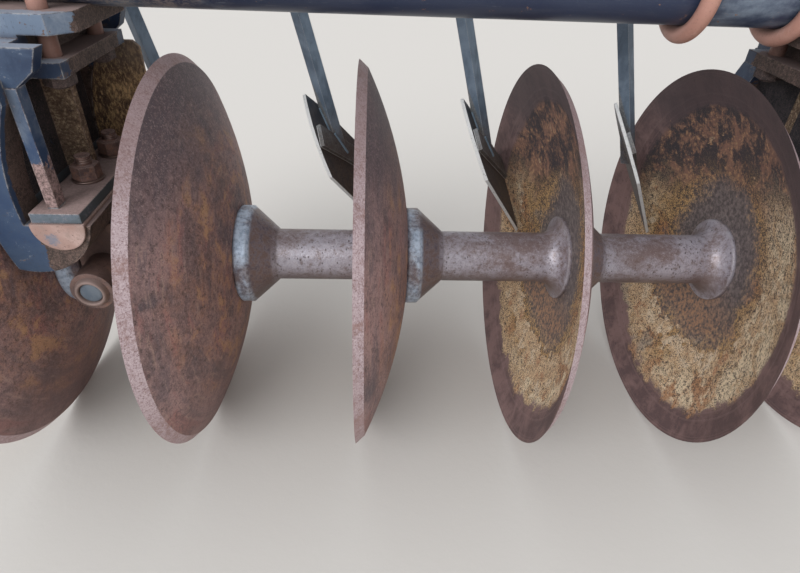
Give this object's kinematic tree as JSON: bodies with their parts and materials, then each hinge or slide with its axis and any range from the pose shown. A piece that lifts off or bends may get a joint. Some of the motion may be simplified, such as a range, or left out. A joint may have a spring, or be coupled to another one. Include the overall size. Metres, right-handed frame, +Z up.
{
  "type": "disc harrow gang",
  "caption": "Row of dished soil discs on one axle, hung by bearing hangers from a pipe beam, with a scraper for each disc.",
  "frame": {"origin": "middle of the right frame saddle's flat top face, between its four threaded legs", "axes": "+X along the gang's axle towards the discs' convex sides, +Y to the rear where the scrapers are, +Z up"},
  "size_m": [1.7895, 0.66, 0.921],
  "materials": {
    "disc_steel": "rusted and soil-worn",
    "cast_spool": "rusted cast iron with traces of paint",
    "journal_steel": "turned steel, dull",
    "rusty_bolt": "rusted",
    "beam_paint": "faded dark blue paint",
    "primer_red": "faded red-oxide paint",
    "bare_cast": "light rust",
    "housing_cast": "rusted cast iron",
    "scraper_paint": "worn blue paint",
    "hanger_paint": "worn blue paint over rust"
  },
  "bodies": {
    "frame": {"beam": "beam_paint", "beam_cap_left": "beam_paint", "beam_cap_right": "beam_paint", "saddle_left": "hanger_paint", "saddle_right": "hanger_paint", "saddle_ubolts_left": "primer_red", "saddle_ubolts_right": "primer_red", "hanger_left": "hanger_paint", "hanger_right": "hanger_paint", "leg_left": "hanger_paint", "leg_right": "hanger_paint", "block_left": "bare_cast", "block_right": "bare_cast", "housing_left": "housing_cast", "housing_right": "housing_cast", "hanger_bolts_left": "rusty_bolt", "hanger_bolts_right": "rusty_bolt", "head_ubolts_left": "primer_red", "head_ubolts_right": "primer_red", "scraper_bar": "scraper_paint", "scraper_brackets": "scraper_paint", "scraper_clamps": "scraper_paint", "scraper_1": "scraper_paint", "scraper_2": "scraper_paint", "scraper_3": "scraper_paint", "scraper_4": "scraper_paint", "scraper_5": "scraper_paint", "scraper_6": "scraper_paint"},
    "gang": {"disc_1": "disc_steel", "disc_2": "disc_steel", "disc_3": "disc_steel", "disc_4": "disc_steel", "disc_5": "disc_steel", "disc_6": "disc_steel", "spool_2": "cast_spool", "spool_3": "cast_spool", "spool_4": "cast_spool", "spool_left_near": "cast_spool", "spool_left_far": "cast_spool", "spool_right_near": "cast_spool", "spool_right_far": "cast_spool", "journal_left": "journal_steel", "journal_right": "journal_steel", "gang_bolt": "rusty_bolt", "end_washer_left": "rusty_bolt", "end_washer_right": "rusty_bolt", "end_nut_left": "rusty_bolt", "end_nut_right": "rusty_bolt"}
  },
  "joints": [
    {"name": "gang_spin", "type": "hinge", "parent": "frame", "child": "gang", "pos_m": [0, 0, -0.531], "axis": [1, 0, 0], "continuous": true}
  ]
}
